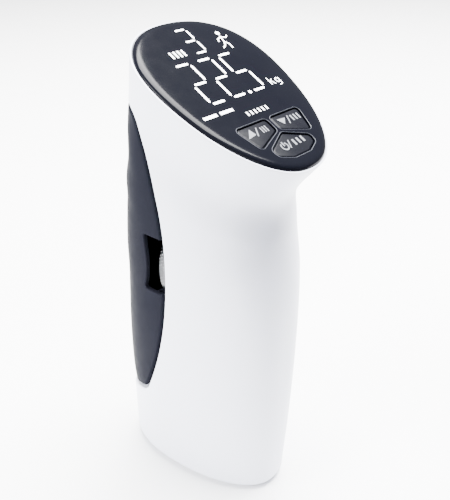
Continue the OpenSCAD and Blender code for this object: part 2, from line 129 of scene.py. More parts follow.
def at_xz(x, z, inset=0.0):
    """(th, s) of the side surface over the point (x, z)."""
    def too_low(s):
        mid, _, _, sl, mid_z = section(s)
        return (x - mid) * math.sin(sl) + (z - mid_z) * math.cos(sl) > 0

    s = bisect(0.0, TOP_SHARE, too_low)
    mid, half_len, _, sl, mid_z = section(s)
    along = (x - mid) * math.cos(sl) - (z - mid_z) * math.sin(sl)
    u = max(-1.0, min(1.0, float(along / (half_len - inset))))
    return math.acos(math.copysign(abs(u) ** (POWER / 2), u)), float(s)


def on_line(th, line, inset=0.0):
    """(th, s) where the surface at angle th meets z = line(x)."""
    def too_low(s):
        p = surf(th, s, inset)
        return p[2] < line(p[0])

    return th, float(bisect(0.0, TOP_SHARE, too_low))


def normal(th, s, inset=0.0):
    """Outward normal of the surface."""
    ds = surf(th, s + S_STEP, inset) - surf(th, s - S_STEP, inset)
    if math.sin(th) < NEAR_EDGE:
        n = np.cross(ds, [0, 1, 0])
    else:
        n = np.cross(surf(th + TH_STEP, s, inset) - surf(th - TH_STEP, s, inset), ds)
    n = n / np.linalg.norm(n)
    p = surf(th, s, inset)
    outward = p - np.array([section(s)[0], 0, p[2]])
    return -n if n @ outward < 0 else n


# ------------------------------------------------------------------ the opening's outline
# Seen from the side, the opening has a level top, two arcs that make its arch, and a sloping ledge.
ARCH = (0.85, 98.0)             # where the upper and lower arcs of the arch meet
R_UP, R_LOW = 90.0, 135.0
TOP_Z, CORNER = 141.3, 7.0
LEDGE_X, LEDGE_Z, LEDGE_SLOPE = -14.45, 34.6, 0.45
LEDGE_UNIT = math.hypot(1, LEDGE_SLOPE)
LEDGE_SEARCH = 40.0             # reach, each way along the ledge, of the search for its corner
C_UP, C_LOW = np.array([ARCH[0] - R_UP, ARCH[1]]), np.array([ARCH[0] - R_LOW, ARCH[1]])
DOWN = np.array([LEDGE_SLOPE, -1.0]) / LEDGE_UNIT   # square to the ledge, out of the opening
N_LINE, N_ARC, N_ARCH = 40, 14, 90                  # steps along each line, corner and the arch
MID_TOP = N_LINE + N_ARC // 2                       # rows of outline() in the middle of its corners
MID_LOW = N_LINE + N_ARC + N_ARCH + N_ARC // 2
LINE_EDGE, CORNER_EDGE, ARCH_EDGE, WINDOW_EDGE = 0, 1, 2, 3


def arch_circle(z, g):
    """Centre and radius of the arch's arc at height z, grown by g."""
    return (C_UP, R_UP + g) if z > ARCH[1] else (C_LOW, R_LOW + g)


def arch_x(z, g):
    c, r = arch_circle(z, g)
    return c[0] + math.sqrt(r**2 - (z - c[1]) ** 2)


def top_corner():
    """Centre of the circle that touches the top line and the upper arc."""
    z = TOP_Z - CORNER
    return np.array([C_UP[0] + math.sqrt((R_UP - CORNER) ** 2 - (z - C_UP[1]) ** 2), z])


def low_corner():
    """Centre of the circle that touches the lower arc and the ledge."""
    along = np.array([1.0, LEDGE_SLOPE]) / LEDGE_UNIT
    start = np.array([LEDGE_X, LEDGE_Z]) - DOWN * CORNER
    inside = lambda t: np.linalg.norm(start + along * t - C_LOW) < R_LOW - CORNER
    return start + along * bisect(-LEDGE_SEARCH, LEDGE_SEARCH, inside, 60)


TOP_C, LOW_C = top_corner(), low_corner()


def outline(g, inset=0.0):
    """The opening's edge on the surface, grown by g, from the top front to the bottom front.
    Rows of (th, s, mx, mz, kind of edge): (mx, mz) points into the opening."""
    a_top = math.atan2(TOP_C[1] - C_UP[1], TOP_C[0] - C_UP[0])
    a_low = math.atan2(LOW_C[1] - C_LOW[1], LOW_C[0] - C_LOW[0])
    r = CORNER + g
    rows = []

    def add_corner(centre, a0, a1):
        for a in np.linspace(a0, a1, N_ARC + 1)[:-1]:
            x, z = centre[0] + r * math.cos(a), centre[1] + r * math.sin(a)
            rows.append((*at_xz(x, z, inset), -math.cos(a), -math.sin(a), CORNER_EDGE))

    top_line = lambda x: TOP_Z + g
    low_line = lambda x: LEDGE_Z + LEDGE_SLOPE * (x - LEDGE_X) - g * LEDGE_UNIT
    th_top = at_xz(TOP_C[0], TOP_Z + g, inset)[0]
    for th in np.linspace(math.pi, th_top, N_LINE + 1)[:-1]:
        rows.append((*on_line(th, top_line, inset), 0.0, -1.0, LINE_EDGE))
    add_corner(TOP_C, math.pi / 2, a_top)
    z_a = C_UP[1] + (R_UP + g) * math.sin(a_top)
    z_b = C_LOW[1] + (R_LOW + g) * math.sin(a_low)
    for z in np.linspace(z_a, z_b, N_ARCH + 1)[:-1]:
        x, (c, rr) = arch_x(z, g), arch_circle(z, g)
        rows.append((*at_xz(x, z, inset), -(x - c[0]) / rr, -(z - c[1]) / rr, ARCH_EDGE))
    add_corner(LOW_C, a_low, math.atan2(DOWN[1], DOWN[0]))
    end = LOW_C + DOWN * r
    th_low = at_xz(end[0], end[1], inset)[0]
    for th in np.linspace(th_low, math.pi, N_LINE + 1):
        rows.append((*on_line(th, low_line, inset), -DOWN[0], -DOWN[1], LINE_EDGE))
    return np.array(rows)


# ------------------------------------------------------------------ mesh helpers
MERGE, DEGENERATE = 0.004, 1e-7     # joined points, in millimetres, and removed edges, in metres


def set_shading(bm, angle):
    """Smooth faces, with sharp edges where two faces meet at more than this angle."""
    for f in bm.faces:
        f.smooth = True
    for e in bm.edges:
        e.smooth = not (len(e.link_faces) == 2 and e.calc_face_angle(0) > math.radians(angle))


class Mesh:
    """Collects grids of points in millimetres, then makes one object of them."""

    def __init__(self):
        self.verts, self.faces = [], []

    def grid(self, points, close=False):
        p = np.asarray(points, float)
        rows, cols = p.shape[:2]
        base = len(self.verts)
        self.verts.extend(p.reshape(-1, 3).tolist())
        for i in range(rows - 1):
            a, b = base + i * cols, base + (i + 1) * cols
            for j in range(cols if close else cols - 1):
                k = (j + 1) % cols
                self.faces.append([a + j, a + k, b + k, b + j])

    def face(self, points):
        base = len(self.verts)
        self.verts.extend([list(map(float, q)) for q in points])
        self.faces.append(list(range(base, base + len(points))))

    def mirrored(self):
        """The same mesh on the other side of the body's middle plane."""
        other = Mesh()
        other.verts = [[x, -y, z] for x, y, z in self.verts]
        other.faces = [f[::-1] for f in self.faces]
        return other

    def build(self, name, mirror=False, merge=MERGE, angle=35):
        mesh = bpy.data.meshes.new(name)
        v = np.array(self.verts) * MM
        faces = list(self.faces)
        if mirror:
            n = len(v)
            v = np.vstack([v, v * [1, -1, 1]])
            faces += [[i + n for i in f[::-1]] for f in self.faces]
        mesh.from_pydata(v.tolist(), [], faces)
        bm = bmesh.new()
        bm.from_mesh(mesh)
        bmesh.ops.remove_doubles(bm, verts=bm.verts, dist=merge * MM)
        bmesh.ops.dissolve_degenerate(bm, edges=bm.edges, dist=DEGENERATE)
        bmesh.ops.recalc_face_normals(bm, faces=bm.faces)
        set_shading(bm, angle)
        bm.to_mesh(mesh)
        bm.free()
        obj = bpy.data.objects.new(name, mesh)
        bpy.context.scene.collection.objects.link(obj)
        return obj


def lerp(a, b, t):
    return a + (b - a) * t


def ruled(left, right, n):
    """Grid of (th, s) between two lists of (th, s), n steps across."""
    left, right = np.asarray(left)[:, :2], np.asarray(right)[:, :2]
    return np.stack([lerp(left, right, t) for t in np.linspace(0, 1, n + 1)], 1)


def rolled_edge(p, n, into, radius, steps, kind, inset, shares):
    """One line of a rounded edge: a quarter turn from the skin towards the opening, then across
    the wall to the inner skin, or to the middle plane where the edge runs across the body."""
    centre = p - n * radius
    line = []
    for a in np.linspace(0, math.pi / 2, steps + 1):
        d = n * math.cos(a) + into * math.sin(a)
        line.append(centre + radius * d / np.linalg.norm(d))
    x, y, z = line[-1]
    y_end = 0.0 if kind <= CORNER_EDGE else surf(*at_xz(x, z, inset), inset)[1]
    return line + [np.array([x, lerp(y, y_end, t), z]) for t in shares]


# ------------------------------------------------------------------ housing
EDGE_R, EDGE_STEPS = 0.8, 8
SIDE_COLS, HEAD_ROWS, FOOT_ROWS = 70, 26, 20
S_RIM, S_FOOT = 0.9985, BASE_ROUND / BODY_H     # shares where the skin turns into rim and foot
S_INNER_TOP, S_INNER_LOW = 0.962, 0.02          # shares where the inner skin ends
LEDGE_INSET, LEDGE_UNDER = 4.1, 4.5             # inner edge of the ledge under the panel
MOUTH, MOUTH_ROUND, MOUTH_DEPTH = 7.5, 0.2, 3.2  # opening for the battery cover in the base


def body_blocks(rows, s_top, s_low):
    """The five grids of (th, s) round the opening, and the angles along the top and bottom."""
    th_c, s_c = rows[MID_TOP, :2]
    th_d, s_d = rows[MID_LOW, :2]
    side = rows[MID_TOP:MID_LOW + 1]
    head, foot = rows[:MID_TOP + 1][::-1], rows[MID_LOW:]
    level = lambda th, s: np.stack([th, np.full(len(th), s)], 1)
    back = np.stack([np.zeros(len(side)), np.linspace(s_c, s_d, len(side))], 1)
    top_side = np.linspace(0, th_c, SIDE_COLS + 1)
    low_side = np.linspace(0, th_d, SIDE_COLS + 1)
    head_th = np.linspace(th_c, math.pi, len(head))
    foot_th = np.linspace(th_d, math.pi, len(foot))
    blocks = [
        ruled(back, side, SIDE_COLS),
        ruled(level(top_side, s_c), level(top_side, s_top), HEAD_ROWS),
        ruled(head, level(head_th, s_top), HEAD_ROWS),
        ruled(level(low_side, s_d), level(low_side, s_low), FOOT_ROWS),
        ruled(foot, level(foot_th, s_low), FOOT_ROWS),
    ]
    return blocks, np.concatenate([top_side, head_th[1:]]), np.concatenate([low_side, foot_th[1:]])


def rings(mesh, th, steps):
    mesh.grid(np.array([surf(th, s, inset, lift) for s, inset, lift in steps]))


def make_housing():
    m = Mesh()
    outer_rows, inner_rows = outline(EDGE_R), outline(0.0, inset=WALL)
    outer, top_th, low_th = body_blocks(outer_rows, S_RIM, S_FOOT)
    inner, in_top, in_low = body_blocks(inner_rows, S_INNER_TOP, S_INNER_LOW)
    for blocks, inset in ((outer, 0.0), (inner, WALL)):
        for b in blocks:
            m.grid(surf(b[..., 0], b[..., 1], inset))
    rings(m, top_th, [
        (S_RIM, 0, 0), (1, 0.03, -0.12), (1, 0.12, -0.02), (1, 0.2, 0),
        (1, RIM - 0.1, 0), (1, RIM, -0.1), (RECESS_FLOOR, RIM, 0),
    ])
    rings(m, in_top, [
        (RECESS_FLOOR, RIM, 0), (RECESS_FLOOR, LEDGE_INSET, 0),
        (S_INNER_TOP, LEDGE_UNDER, 0), (S_INNER_TOP, WALL, 0),
    ])
    foot_heights = (5, 4, 3, 2.2, 1.5, 0.9, 0.45, 0.15, 0)
    foot = [
        (z / BODY_H, BASE_ROUND - math.sqrt(BASE_ROUND**2 - (BASE_ROUND - z) ** 2), 0)
        for z in foot_heights
    ]
    mouth = [(0, MOUTH - MOUTH_ROUND, 0), (0, MOUTH, 0.15), (0, MOUTH, MOUTH_DEPTH)]
    rings(m, low_th, foot + mouth)
    rings(m, in_low, [(0, MOUTH, MOUTH_DEPTH), (S_INNER_LOW, WALL, 0)])
    lines = []
    for th, s, mx, mz, kind in outer_rows:
        into = np.array([mx, 0, mz])
        lines.append(rolled_edge(
            surf(th, s), normal(th, s), into, EDGE_R, EDGE_STEPS, kind, WALL, (0.25, 0.6, 1.0)))
    m.grid(np.array(lines))
    obj = m.build("housing_shell", mirror=True, angle=40)
    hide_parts("main_housing")
    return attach(obj, "root")


# ------------------------------------------------------------------ finger lever
RECESS, LEVER_WALL, GAP = 0.4, 1.3, 1.0
LEVER_R, WINDOW_R, LEVER_STEPS = 0.9, 0.4, 6    # rounding of the lever's edge and of its window's
INSIDE = RECESS + LEVER_WALL
LEVER_EDGE = -GAP - LEVER_R                     # where the flat skin ends, from the opening's edge
# how far the lever's front stands behind the body's own line, by height
FRONT = [(28, 1.6), (33, 0.2), (38, -0.8), (50, -1.4), (64, -1.4), (76, -0.9), (86, -0.7), (95, -1.5),
         (109, -1), (114, -0.5), (120, -1.2), (129, 0.6), (138, -1.2), (150, -1.3)]
WINDOW = (82.8, 103.2)                          # lower and upper edge of the window
WINDOW_LEFT = [(82.8, -9.0), (88, -7.6), (93.5, -6.9), (98, -7.1), (103.2, -7.5)]
WINDOW_CORNER = 1.0
WIN_EDGE, WIN_CORNER, WIN_LEFT = 12, 8, 16      # steps along the window's sides and corners
TURN_STEPS = 6
SPLIT, N_FRONT = 22, 24                         # columns of the lever's front
ROW_CLEAR = 0.3                                 # rows this near the window are left out
SKIRT_OUT, SKIRT_T = WALL + 0.45, 1.8
SKIRT_FROM, SKIRT_TO = -4.6, 12.0               # from the arch's edge: under the lever, behind the housing
SKIRT_LOW, SKIRT_HIGH, SKIRT_ROWS, SKIRT_COLS = 40.5, 135.5, 26, 14
SKIRT_LAP = 0.2                                 # depth of the skirt's root in the lever's wall


def lever_surf(th, s):
    th, s = np.broadcast_arrays(np.asarray(th, float), np.asarray(s, float))
    _, half_len, _, sl, _ = section(s)
    u = spow(np.cos(th)) * (half_len - RECESS) / half_len
    move = curve(FRONT, BODY_H * s) * np.maximum(0, -u) ** 2
    return surf(th, s, RECESS) + np.stack([move * np.cos(sl), 0 * move, -move * np.sin(sl)], -1)


def window_path():
    """The window's edge from the arch edge above it round to the arch edge below, as rows like
    outline()'s, and the two rows in the middle of its corners."""
    r = WINDOW_CORNER + WINDOW_R
    low, top = WINDOW[0] - WINDOW_R, WINDOW[1] + WINDOW_R
    left = lambda z: float(curve(WINDOW_LEFT, min(max(z, WINDOW[0]), WINDOW[1]))) - WINDOW_R
    x_top, x_low = left(WINDOW[1]) + r, left(low + r) + r
    path = []

    def add_corner(x, z, a0, a1):
        for a in np.radians(np.linspace(a0, a1, WIN_CORNER + 1)[:-1]):
            path.append((x + r * math.cos(a), z + r * math.sin(a), -math.cos(a), -math.sin(a)))

    for x in np.linspace(arch_x(top, LEVER_EDGE), x_top, WIN_EDGE + 1)[:-1]:
        path.append((x, top, 0, -1))
    add_corner(x_top, top - r, 90, 180)
    for z in np.linspace(top - r, low + r, WIN_LEFT + 1)[:-1]:
        path.append((left(z), z, 1, 0))
    add_corner(x_low, low + r, 180, 270)
    for x in np.linspace(x_low, arch_x(low, LEVER_EDGE), WIN_EDGE + 1):
        path.append((x, low, 0, 1))
    rows = [(*at_xz(x, z, RECESS), mx, mz, WINDOW_EDGE) for x, z, mx, mz in path]
    first = WIN_EDGE + WIN_CORNER // 2
    return np.array(rows), first, first + WIN_CORNER + WIN_LEFT


def coons(top, low, left, right):
    """Grid of (th, s) inside four edges: rows run down from top, columns run from left to right."""
    top, low, left, right = (np.asarray(e)[:, :2] for e in (top, low, left, right))
    u = np.linspace(0, 1, len(top))[None, :, None]
    v = np.linspace(0, 1, len(left))[:, None, None]
    return (
        (1 - v) * top[None] + v * low[None] + (1 - u) * left[:, None] + u * right[:, None]
        - (1 - u) * (1 - v) * top[0] - u * (1 - v) * top[-1] - (1 - u) * v * low[0] - u * v * low[-1]
    )


def straight(a, b, n):
    """n rows of (th, s) from a to b."""
    return np.linspace(np.asarray(a)[:2], np.asarray(b)[:2], n)


def resample(edge, n):
    """n rows of (th, s) spread evenly over the rows of an edge."""
    at = np.linspace(0, len(edge) - 1, n)
    return np.stack([np.interp(at, range(len(edge)), edge[:, c]) for c in (0, 1)], 1)


def lever_grids(top, low, upper, lower, win, first, second):
    """Five grids of (th, s): beside and in front of the window's top, in front of the window, and
    beside and in front of its bottom."""
    split_low = len(low) - 1 - SPLIT
    front_at = lambda z: on_line(math.pi, lambda x: z, RECESS)
    front_hi, front_lo = front_at(WINDOW[1] + WINDOW_R), front_at(WINDOW[0] - WINDOW_R)
    head_side, foot_side = top[SPLIT:], low[:split_low + 1]
    head_mid = straight(top[SPLIT], win[first], len(upper))
    foot_mid = straight(win[second], low[split_low], len(lower))
    across_hi = straight(win[first], front_hi, N_FRONT)
    across_lo = straight(win[second], front_lo, N_FRONT)
    return [
        coons(head_side, resample(win[:first + 1][::-1], len(head_side)), head_mid, upper),
        coons(resample(top[:SPLIT + 1], N_FRONT)[::-1], across_hi, head_mid,
              straight(top[0], front_hi, len(upper))),
        coons(across_hi, across_lo, win[first:second + 1],
              straight(front_hi, front_lo, second - first + 1)),
        coons(resample(win[second:], len(foot_side)), foot_side[::-1], foot_mid, lower),
        coons(across_lo, resample(low[split_low:], N_FRONT), foot_mid,
              straight(front_lo, low[-1], len(lower))),
    ]


def make_lever():
    m = Mesh()
    rows = outline(LEVER_EDGE, inset=RECESS)
    win, first, second = window_path()
    top, side, low = rows[:MID_TOP + 1], rows[MID_TOP:MID_LOW + 1], rows[MID_LOW:]
    side_z = np.array([surf(r[0], r[1], RECESS)[2] for r in side])
    above = side[side_z > WINDOW[1] + WINDOW_R + ROW_CLEAR]
    below = side[side_z < WINDOW[0] - WINDOW_R - ROW_CLEAR]

    def turn(p, a0, a1):
        """Rows at one point, for the corner between the lever's edge and the window's."""
        angles = np.radians(np.linspace(a0, a1, TURN_STEPS + 1))
        return np.array([[*p[:2], math.cos(a), math.sin(a), ARCH_EDGE] for a in angles])

    upper_turn, lower_turn = turn(win[0], 0, -90)[:-1], turn(win[-1], 90, 0)[1:]
    upper, lower = np.vstack([above, upper_turn[:1]]), np.vstack([lower_turn[-1:], below])
    for g in lever_grids(top, low, upper, lower, win, first, second):
        m.grid(lever_surf(g[..., 0], g[..., 1]))
        m.grid(surf(g[..., 0], g[..., 1], INSIDE))
    # the lever's own edge curls towards the housing, and the window's curls into the window
    outward = lambda part: part * [1, 1, -1, -1, 1]
    path = np.vstack([
        outward(top), outward(above[1:]), upper_turn, win,
        lower_turn, outward(below), outward(low[1:]),
    ])
    lines = []
    for th, s, mx, mz, kind in path:
        radius = WINDOW_R if kind == WINDOW_EDGE else LEVER_R
        n, into = normal(th, s, RECESS), np.array([mx, 0, mz])
        lines.append(rolled_edge(
            lever_surf(th, s), n, into, radius, LEVER_STEPS, kind, INSIDE, (0.3, 1.0)))
    m.grid(np.array(lines))
    obj = m.build("lever_shell", mirror=True, angle=38)
    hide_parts("finger_lever")
    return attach(obj, "lever")


def skirt_sheet(z0, z1, deeper):
    """One face of the skirt: it starts in the lever's wall and goes on behind the housing's."""
    sheet = []
    for z in np.linspace(z0, z1, SKIRT_ROWS):
        row = []
        for i, x in enumerate(np.linspace(arch_x(z, SKIRT_FROM), arch_x(z, SKIRT_TO), SKIRT_COLS)):
            inset = (SKIRT_OUT if i else INSIDE - SKIRT_LAP) + deeper
            row.append(surf(*at_xz(x, z, inset), inset))
        sheet.append(row)
    return np.array(sheet)


def make_skirts():
    m = Mesh()
    for z0, z1 in ((WINDOW[1], SKIRT_HIGH), (SKIRT_LOW, WINDOW[0])):
        a, b = skirt_sheet(z0, z1, 0.0), skirt_sheet(z0, z1, SKIRT_T)
        m.grid(a)
        m.grid(b)
        for edge_a, edge_b in ((a[0], b[0]), (a[-1], b[-1]), (a[:, 0], b[:, 0]), (a[:, -1], b[:, -1])):
            m.grid(np.stack([edge_a, edge_b]))
    skirts = [m.build("lever_skirt", angle=30), m.mirrored().build("lever_skirt_far", angle=30)]
    for obj in skirts:
        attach(obj, "lever")
    return skirts


# ------------------------------------------------------------------ adjusting wheel
WHEEL_X, WHEEL_W, WHEEL_R, AXLE_Z, TEETH = -6.0, 6.5, 21.0, 88.5, 110
TOOTH, KNURL_ANGLE = 0.6, math.radians(35)
TIP_DROP, TIP_SIDE = 0.02, 0.3                  # the outermost edge, from the rim and the side
TOOTH_STEPS, RIM_COLS = 6, 15
KNURL_BAND = 1.2                                # depth of the band in which grooves are looked for, for the painted shade


def make_wheel():
    """Knurled wheel, swept from rows of (radius, inset from the side, share of the tooth depth)."""
    m = Mesh()
    x0, x1 = WHEEL_X, WHEEL_X + WHEEL_W
    hub = [(3.1, 0.3, 0), (3.4, 0, 0), (6.2, 0, 0), (6.5, 0.3, 0), (6.6, 1, 0)]
    edge = [
        (3.6, 1, 0), (3.5, 0.3, 0), (3.2, 0, 0), (1.5, 0, 0), (1.0, 0.02, 0),
        (0.75, 0.06, 0.2), (0.4, 0.14, 0.6), (TIP_DROP, TIP_SIDE, 1),
    ]
    half = hub + [(WHEEL_R - drop, side, share) for drop, side, share in edge]
    across = np.linspace(x0 + TIP_SIDE, x1 - TIP_SIDE, RIM_COLS)[1:-1]
    profile = [(x0 + side, r, share) for r, side, share in half]
    profile += [(x, WHEEL_R - TIP_DROP, 1) for x in across]
    profile += [(x1 - side, r, share) for r, side, share in half[::-1]]
    a = np.linspace(0, 2 * math.pi, TEETH * TOOTH_STEPS, endpoint=False)
    pitch = 2 * math.pi * WHEEL_R / TEETH
    rows = []
    for x, r, share in profile:
        phase = 2 * math.pi * (x - x0) * math.tan(KNURL_ANGLE) / pitch
        rr = r - TOOTH * share * (0.5 - 0.5 * np.cos(a * TEETH - phase))
        rows.append(np.stack([np.full(len(a), x), rr * np.cos(a), AXLE_Z + rr * np.sin(a)], 1))
    rows.append(rows[0])
    m.grid(np.array(rows), close=True)
    obj = m.build("knurled_wheel", angle=40)
    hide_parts("adjusting_wheel")
    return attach(obj, "wheel")


def paint_groove_shade(obj, mat):
    """Paint shade into the bottoms of the knurl, and the side just inside it, as a darker second material.
    """
    obj.data.materials.append(mat)
    for face in obj.data.polygons:
        reach = math.hypot(face.center[1] / MM, face.center[2] / MM - AXLE_Z)
        if WHEEL_R - KNURL_BAND < reach < WHEEL_R - TOOTH / 2:
            face.material_index = 1


# ------------------------------------------------------------------ the display face
# Places on the face are (x from its finger end down, y across), with w above it.
C_T, S_T = math.cos(TILT), math.sin(TILT)
PANEL_EDGE, PANEL_TOP, PANEL_UNDER = RIM + 0.15, 1.2, -1.4
PANEL_BEVEL, PANEL_FLAT = 1.2, 16               # insets of the underside and of the flat top
HALF_LEN, HALF_W = FACE_LEN / 2, WIDTH[-1][1]
OVAL_STEPS, CUT_DEPTH = 200, 6
KEY_TOP, KEY_GAP = 0.95, 0.25
FLANGE_TOP, FLANGE_T, FLANGE_W, FLANGE_INSET = -1.7, 0.9, 0.3, 5.2
KEY_BEVEL = 0.4
UP_KEY = [(44.6, -14.2), (44.6, -0.8), (49.5, -0.8), (53.4, -11.4)]
DOWN_KEY = [(x, -y) for x, y in UP_KEY]
POWER_KEY = [(50.6, 0), (54.7, 8.9), (57.4, 8.2), (59.3, 3.5), (59.3, -3.5), (57.4, -8.2), (54.7, -8.9)]
KEYS = {"button_up": (UP_KEY, 1.3), "button_down": (DOWN_KEY, 1.3), "button_power": (POWER_KEY, 1.6)}


def on_face(x, y, w):
    return [HIGH_X + x * C_T + w * S_T, y, BODY_H - x * S_T + w * C_T]


def face_points(points, w):
    return [on_face(x, y, w) for x, y in points]


def round_polygon(points, r, grow=0.0, n=6):
    """The outline of a convex polygon with rounded corners, grown by a margin."""
    p = [np.array(q, float) for q in points]
    area = sum(p[i - 1][0] * q[1] - q[0] * p[i - 1][1] for i, q in enumerate(p))
    if area < 0:
        p = p[::-1]
    out = []
    for i, b in enumerate(p):
        a, c = p[i - 1], p[(i + 1) % len(p)]
        d1, d2 = (b - a) / np.linalg.norm(b - a), (c - b) / np.linalg.norm(c - b)
        n1, n2 = np.array([d1[1], -d1[0]]), np.array([d2[1], -d2[0]])
        half = math.acos(max(-1, min(1, d1 @ d2))) / 2
        centre = b - (d1 * math.tan(half) * r) - n1 * r
        a1, a2 = math.atan2(n1[1], n1[0]), math.atan2(n2[1], n2[0])
        while a2 < a1:
            a2 += 2 * math.pi
        for t in np.linspace(a1, a2, n + 1):
            out.append(centre + (r + grow) * np.array([math.cos(t), math.sin(t)]))
    return [tuple(q) for q in out]


def clip_to_oval(points, inset):
    """Face points drawn in to an oval this far inside the face's edge."""
    out = []
    for x, y in points:
        reach = max(math.hypot((x - HALF_LEN) / (HALF_LEN - inset), y / (HALF_W - inset)), 1)
        out.append((HALF_LEN + (x - HALF_LEN) / reach, y / reach))
    return out


def prism(m, low, high):
    m.grid(np.array([low, high]), close=True)
    m.face(high)
    m.face(low[::-1])


def cut(obj, tool):
    """Take the tool's shape out of the object, and remove the tool."""
    mod = obj.modifiers.new("cut", "BOOLEAN")
    mod.object, mod.operation, mod.solver = tool, "DIFFERENCE", "EXACT"
    bpy.context.view_layer.update()
    depsgraph = bpy.context.evaluated_depsgraph_get()
    left_over = bpy.data.meshes.new_from_object(obj.evaluated_get(depsgraph))
    obj.modifiers.clear()
    obj.data = left_over
    bpy.data.objects.remove(tool)


def make_panel():
    m = Mesh()
    th = np.linspace(0, 2 * math.pi, OVAL_STEPS, endpoint=False)
    oval = lambda inset, w: surf(th, 1.0, PANEL_EDGE + inset, w)
    steps = [
        (PANEL_BEVEL, PANEL_UNDER), (0.05, -1.3), (0, -1.1), (0, 0.0), (0.02, 0.2), (0.1, 0.4),
        (0.25, 0.6), (0.5, 0.8), (0.8, 0.95), (1.2, 1.06), (1.7, 1.13), (2.4, 1.17), (3.5, 1.19),
        (5, PANEL_TOP), (PANEL_FLAT, PANEL_TOP),
    ]
    m.grid(np.array([oval(inset, w) for inset, w in steps]), close=True)
    m.face(oval(PANEL_FLAT, PANEL_TOP))
    m.face(oval(PANEL_BEVEL, PANEL_UNDER)[::-1])
    obj = m.build("display_lens", angle=30)
    for points, r in KEYS.values():
        cutter = Mesh()
        ring = round_polygon(points, r)
        prism(cutter, face_points(ring, -CUT_DEPTH), face_points(ring, CUT_DEPTH))
        cut(obj, cutter.build("cutter"))
    bm = bmesh.new()
    bm.from_mesh(obj.data)
    set_shading(bm, 30)
    bm.to_mesh(obj.data)
    bm.free()
    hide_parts("display_panel")
    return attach(obj, "root")


def make_key(node):
    points, r = KEYS[node]
    body = node.split("_")[1]
    m = Mesh()
    flange = [(FLANGE_W, FLANGE_TOP - FLANGE_T), (FLANGE_W, FLANGE_TOP), (-KEY_GAP, FLANGE_TOP)]
    cap = [
        (-KEY_GAP, FLANGE_TOP), (-KEY_GAP, KEY_TOP - 0.3), (-KEY_GAP - 0.06, KEY_TOP - 0.12),
        (-KEY_GAP - 0.18, KEY_TOP - 0.03), (-KEY_GAP - KEY_BEVEL, KEY_TOP),
    ]
    rows = [
        face_points(clip_to_oval(round_polygon(points, r, grow), FLANGE_INSET), w)
        for grow, w in flange
    ]
    rows += [face_points(round_polygon(points, r, grow), w) for grow, w in cap]
    m.grid(np.array(rows), close=True)
    m.face(rows[-1])
    m.face(rows[0][::-1])
    obj = m.build("key_" + body, angle=50)
    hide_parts(node)
    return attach(obj, body)


# ------------------------------------------------------------------ lit and printed marks
MARK_T = 0.05
LIT_W = PANEL_TOP + 0.07                        # top of the marks on the panel
KEY_MARK_W = KEY_TOP + 0.06                     # top of the marks on the keys
GRAPHIC_MERGE = 0.0001
DIGIT_X, DIGIT_HALF_H, DIGIT_HALF_W, DIGIT_STROKE = 26.5, 7.9, 2.8, 0.78
SEGMENTS = {"2": "abged", "3": "abgcd", "5": "afgcd"}
MARK_SHARE = 0.4                                # width of a plain mark, as a share of its pitch
FIGURE_STROKE, UNIT_STROKE, SLASH_STROKE, POWER_STROKE = 0.45, 0.3, 0.38, 0.42
POWER_X, POWER_Y, POWER_R = 54.95, -3.25, 1.25
KEY_RING_IN, KEY_RING_OUT, KEY_RING_H, KEY_RING_T = 0.12, 0.42, 0.1, 0.14


def plate(m, points, w):
    """A flat printed or lit shape on the face, with its top at height w."""
    low, high = face_points(points, w - MARK_T), face_points(points, w)
    m.face(high)
    m.grid(np.array([low, high]), close=True)
    m.face(low[::-1])


def box_plate(m, x, y, half_x, half_y, w):
    x0, x1, y0, y1 = x - half_x, x + half_x, y - half_y, y + half_y
    plate(m, [(x0, y0), (x1, y0), (x1, y1), (x0, y1)], w)


def strokes(m, points, width, w, closed=False):
    """Plates along a line of given width through points."""
    n = len(points)
    for i in range(n if closed else n - 1):
        a, b = np.array(points[i], float), np.array(points[(i + 1) % n], float)
        d = b - a
        q = np.array([-d[1], d[0]]) / np.linalg.norm(d) * width / 2
        plate(m, [a - q, b - q, b + q, a + q], w)


def arc(x, y, rx, ry, angles):
    return [(x + rx * math.cos(a), y + ry * math.sin(a)) for a in np.radians(angles)]


def dot(m, x, y, r, w):
    plate(m, arc(x, y, r, r, np.linspace(0, 360, 27, endpoint=False)), w)


def digit(m, char, x, y, half_h, half_w, stroke_w, w):
    """A seven-segment digit centred at (x, y): x runs down the digit, y across it."""
    gap, gap_v, t = 0.5 * stroke_w, 0.9 * stroke_w, stroke_w / 2
    top, low, left, right = x - half_h, x + half_h, y - half_w, y + half_w
    level = {"a": top, "g": x, "d": low}
    upright = {"f": (left, top, x), "b": (right, top, x), "e": (left, x, low), "c": (right, x, low)}
    for key in SEGMENTS[char]:
        if key in level:
            c, y0, y1 = level[key], left + gap, right - gap
            points = [(c, y0), (c - t, y0 + t), (c - t, y1 - t), (c, y1), (c + t, y1 - t), (c + t, y0 + t)]
        else:
            c, x0, x1 = upright[key]
            x0, x1 = x0 + gap_v, x1 - gap_v
            points = [(x0, c), (x0 + t, c + t), (x1 - t, c + t), (x1, c), (x1 - t, c - t), (x0 + t, c - t)]
        plate(m, points, w)


def small_blocks(m, x, y0, y1, height, count, w):
    """A row of plain upright marks, standing where a word would be."""
    pitch = (y1 - y0) / count
    for i in range(count):
        box_plate(m, x, y0 + (i + 0.5) * pitch, height / 2, MARK_SHARE / 2 * pitch, w)


def graphic(mesh, name, body="root"):
    obj = mesh.build(name, angle=30, merge=GRAPHIC_MERGE)
    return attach(obj, body)


